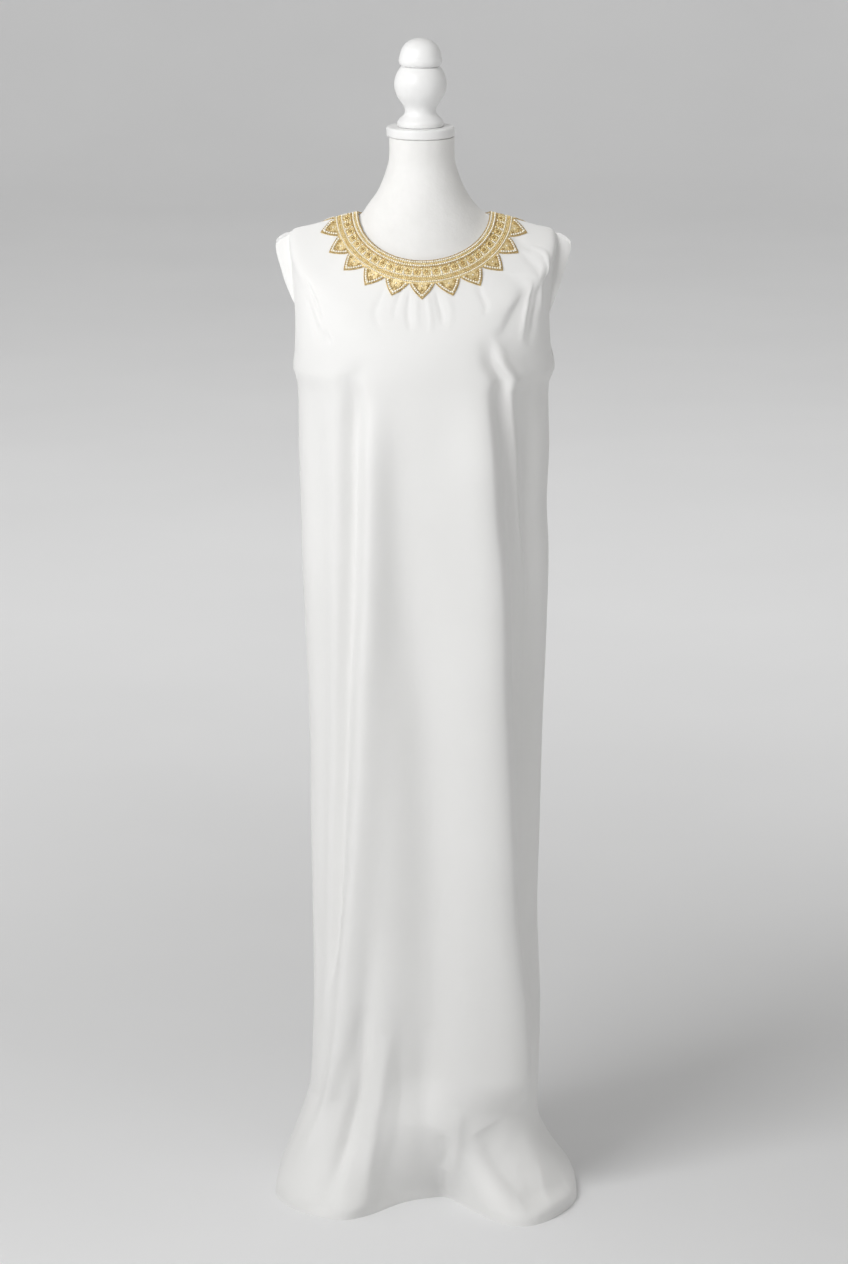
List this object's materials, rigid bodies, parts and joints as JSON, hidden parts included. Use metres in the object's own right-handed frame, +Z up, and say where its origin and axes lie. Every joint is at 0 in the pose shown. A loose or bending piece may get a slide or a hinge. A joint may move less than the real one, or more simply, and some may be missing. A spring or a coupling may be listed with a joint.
{
  "type": "floor-length dress on a limbless dress form",
  "caption": "Plain white floor-length dress with cap sleeves and a gold pointed neckline trim, standing on a limbless dress form with a turned finial.",
  "frame": {"origin": "on the floor, under the middle of the hem's bounding box", "axes": "+Z up, the front of the dress faces -Y, +X is the viewer's right"},
  "size_m": [0.445, 0.4315, 1.6969],
  "materials": {
    "dress_cloth": "smooth white crepe with a soft sheen",
    "gold_trim": "metallic gold thread and beads",
    "form_cloth": "matte off-white knit stretched over the form",
    "white_paint": "turned wood, satin white paint"
  },
  "bodies": {
    "root": {"front_panel": "dress_cloth", "back_panel": "dress_cloth", "cap_sleeve_left": "dress_cloth", "cap_sleeve_right": "dress_cloth", "neck_trim_front": "gold_trim", "neck_trim_back": "gold_trim", "form_torso": "form_cloth", "neck_disc": "white_paint", "finial": "white_paint", "pole": "white_paint", "stand_hub": "white_paint", "leg_front_left": "white_paint", "leg_front_right": "white_paint", "leg_back": "white_paint"}
  },
  "joints": []
}
